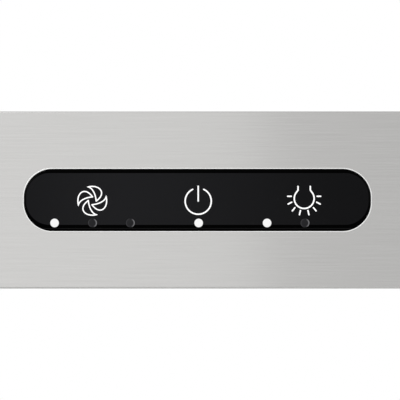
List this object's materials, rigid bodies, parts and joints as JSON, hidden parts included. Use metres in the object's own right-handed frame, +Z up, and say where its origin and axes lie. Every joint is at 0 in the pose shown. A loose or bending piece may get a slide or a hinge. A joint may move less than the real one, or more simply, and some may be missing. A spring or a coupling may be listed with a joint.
{
  "type": "range hood",
  "caption": "Wall-mounted chimney range hood in brushed steel with a flat box canopy, a black touch control strip, baffle filters, lamps, and a blower with a spiral casing",
  "frame": {"origin": "on the wall plane, midway between the two screw holes in the canopy's back", "axes": "+X to the right when facing the hood, +Y into the wall, +Z up; the front faces -Y"},
  "size_m": [0.76, 0.501, 0.756],
  "materials": {
    "stainless": "satin, brushed one way",
    "pan_stainless": "satin",
    "filter_stainless": "bright satin",
    "spring_steel": "plain spring strip",
    "lamp_trim": "polished",
    "lamp_window": "frosted",
    "lamp_casting": "as cast",
    "polished_trim": "polished",
    "gloss_black": "deep gloss",
    "smoked_face": "smooth smoked",
    "light_pipe": "clear white",
    "led_chip": "moulded",
    "circuit_board": "solder resist",
    "grey_moulding": "moulded",
    "zinc_fastener": "zinc plated",
    "ribbon_grey": "moulded",
    "terminal_ivory": "moulded",
    "seal_foam": "closed foam",
    "rubber_black": "moulded",
    "galvanised": "zinc coated",
    "plain_aluminium": "plain sheet",
    "ground_steel": "ground",
    "motor_paint": "satin black",
    "bearing_bronze": "sintered",
    "capacitor_case": "moulded",
    "collar_plastic": "moulded"
  },
  "bodies": {
    "hood": {"cable_grommet": "rubber_black", "canopy_shell": "stainless", "capacitor_strap": "galvanised", "collar_screws": "zinc_fastener", "control_housing": "grey_moulding", "control_nuts": "zinc_fastener", "damper_pin": "ground_steel", "duct_collar": "collar_plastic", "fan_speed_lenses": "light_pipe", "filter_pan": "pan_stainless", "indicator_leds": "led_chip", "lamp_bezels": "lamp_trim", "lamp_bodies": "lamp_casting", "lamp_clips": "spring_steel", "lamp_lenses": "lamp_window", "light_level_lenses": "light_pipe", "lower_chimney": "stainless", "motor_bearings": "bearing_bronze", "motor_body": "motor_paint", "motor_box": "galvanised", "motor_box_screws": "zinc_fastener", "motor_box_seal": "seal_foam", "motor_cushions": "rubber_black", "motor_screws": "zinc_fastener", "motor_spider": "galvanised", "panel_bezel": "gloss_black", "panel_trim_ring": "polished_trim", "power_board": "circuit_board", "power_box": "grey_moulding", "power_cover": "grey_moulding", "power_cover_screws": "zinc_fastener", "power_lens": "light_pipe", "ribbon_cable": "ribbon_grey", "run_capacitor": "capacitor_case", "scroll_left_plate": "galvanised", "scroll_right_plate": "galvanised", "scroll_wrapper": "galvanised", "terminal_block": "terminal_ivory", "touch_board": "circuit_board", "touch_face": "smoked_face"},
    "blower_wheel": {"impeller_plate": "galvanised", "impeller_blades": "galvanised", "impeller_rings": "galvanised", "impeller_hub": "plain_aluminium", "motor_shaft": "ground_steel"},
    "left_filter": {"left_filter_frame": "filter_stainless", "left_filter_baffles": "filter_stainless", "left_filter_pull": "filter_stainless", "left_filter_clips": "spring_steel"},
    "right_filter": {"right_filter_frame": "filter_stainless", "right_filter_baffles": "filter_stainless", "right_filter_pull": "filter_stainless", "right_filter_clips": "spring_steel"},
    "left_flap": {"left_damper_flap": "plain_aluminium"},
    "right_flap": {"right_damper_flap": "plain_aluminium"},
    "chimney_extension": {"upper_chimney": "stainless", "chimney_bracket": "galvanised", "chimney_screws": "zinc_fastener"}
  },
  "joints": [
    {"name": "wheel_spin", "type": "hinge", "parent": "hood", "child": "blower_wheel", "pos_m": [0, -0.09, 0.13], "axis": [1, 0, 0], "continuous": true},
    {"name": "left_filter_swing", "type": "hinge", "parent": "hood", "child": "left_filter", "pos_m": [-0.168, -0.083, -0.015], "axis": [1, 0, 0], "range_deg": [0, 75], "deforming": ["left_filter_clips"]},
    {"name": "right_filter_swing", "type": "hinge", "parent": "hood", "child": "right_filter", "pos_m": [0.168, -0.083, -0.015], "axis": [1, 0, 0], "range_deg": [0, 75], "deforming": ["right_filter_clips"]},
    {"name": "left_flap_swing", "type": "hinge", "parent": "hood", "child": "left_flap", "pos_m": [0, -0.14, 0.284], "axis": [0, 1, 0], "range_deg": [0, 75]},
    {"name": "right_flap_swing", "type": "hinge", "parent": "hood", "child": "right_flap", "pos_m": [0, -0.14, 0.284], "axis": [0, -1, 0], "range_deg": [0, 75]},
    {"name": "chimney_slide", "type": "slide", "parent": "hood", "child": "chimney_extension", "axis": [0, 0, 1], "range_m": [-0.225, 0.14]}
  ]
}
